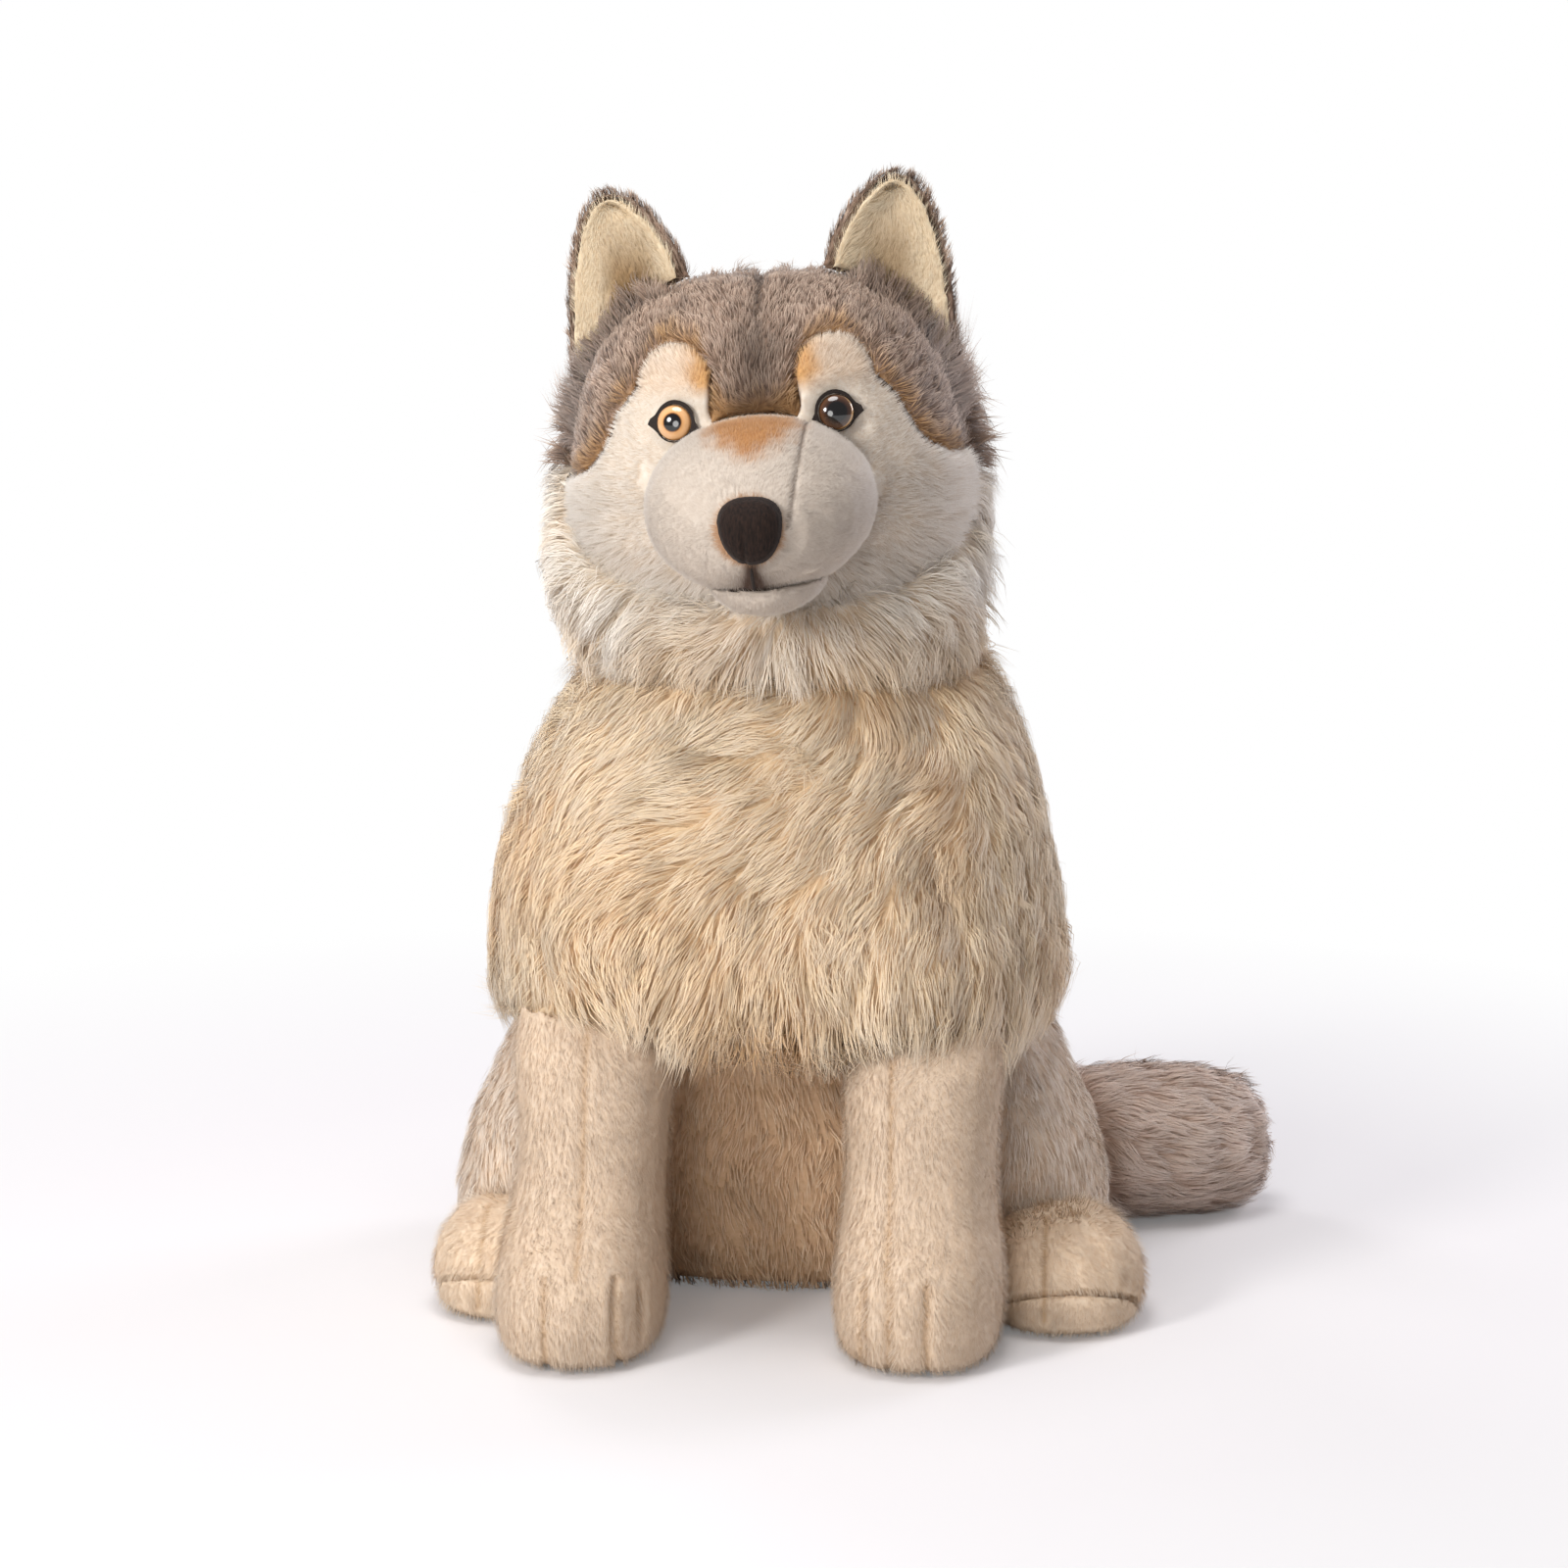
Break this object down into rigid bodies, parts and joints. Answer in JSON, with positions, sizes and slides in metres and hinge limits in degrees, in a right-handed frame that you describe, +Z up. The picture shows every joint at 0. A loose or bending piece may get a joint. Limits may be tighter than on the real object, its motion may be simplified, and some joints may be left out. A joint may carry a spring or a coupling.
{
  "type": "plush wolf",
  "caption": "Sitting soft toy wolf in long cream and brown pile, with a deep mane, upright ears, amber eyes and a tail laid to one side.",
  "frame": {"origin": "middle of the flat seat under the belly, on the floor", "axes": "+Z up, -Y the way the chest and the front paws face, +X towards the wolf's own left, where the tail lies"},
  "size_m": [0.4625, 0.3949, 0.6064],
  "materials": {
    "sand_pile": "long silky pile, cream at the tips over orange-tan",
    "cream_pile": "mid-length silky pile, cream",
    "pale_pile": "short plush pile, off-white",
    "brown_pile": "long pile, dark brown with pale tips",
    "tail_pile": "long pile, greyed tan",
    "ear_pile": "short pile, warm tan",
    "nose_velour": "short dense velour, black-brown",
    "dark_felt": "pressed felt, near black",
    "amber_plastic": "clear moulded dome over a painted iris",
    "white_plastic": "moulded"
  },
  "bodies": {
    "root": {"body": "sand_pile", "chest_mane": "sand_pile", "front_leg_left": "sand_pile", "front_leg_right": "sand_pile", "hind_foot_left": "sand_pile", "hind_foot_right": "sand_pile", "thigh_left": "sand_pile", "thigh_right": "sand_pile", "head_face": "cream_pile", "hind_sole_left": "cream_pile", "hind_sole_right": "cream_pile", "neck_ruff": "cream_pile", "chin": "pale_pile", "muzzle": "pale_pile", "back_saddle": "brown_pile", "crown": "brown_pile", "ear_back_left": "brown_pile", "ear_back_right": "brown_pile", "nape_ruff": "brown_pile", "tail_top": "brown_pile", "tail": "tail_pile", "ear_lining_left": "ear_pile", "ear_lining_right": "ear_pile", "nose": "nose_velour", "eye_liner_left": "dark_felt", "eye_liner_right": "dark_felt", "mouth_stitch": "dark_felt", "eye_left": "amber_plastic", "eye_right": "amber_plastic", "eye_washer_left": "white_plastic", "eye_washer_right": "white_plastic"}
  },
  "joints": []
}
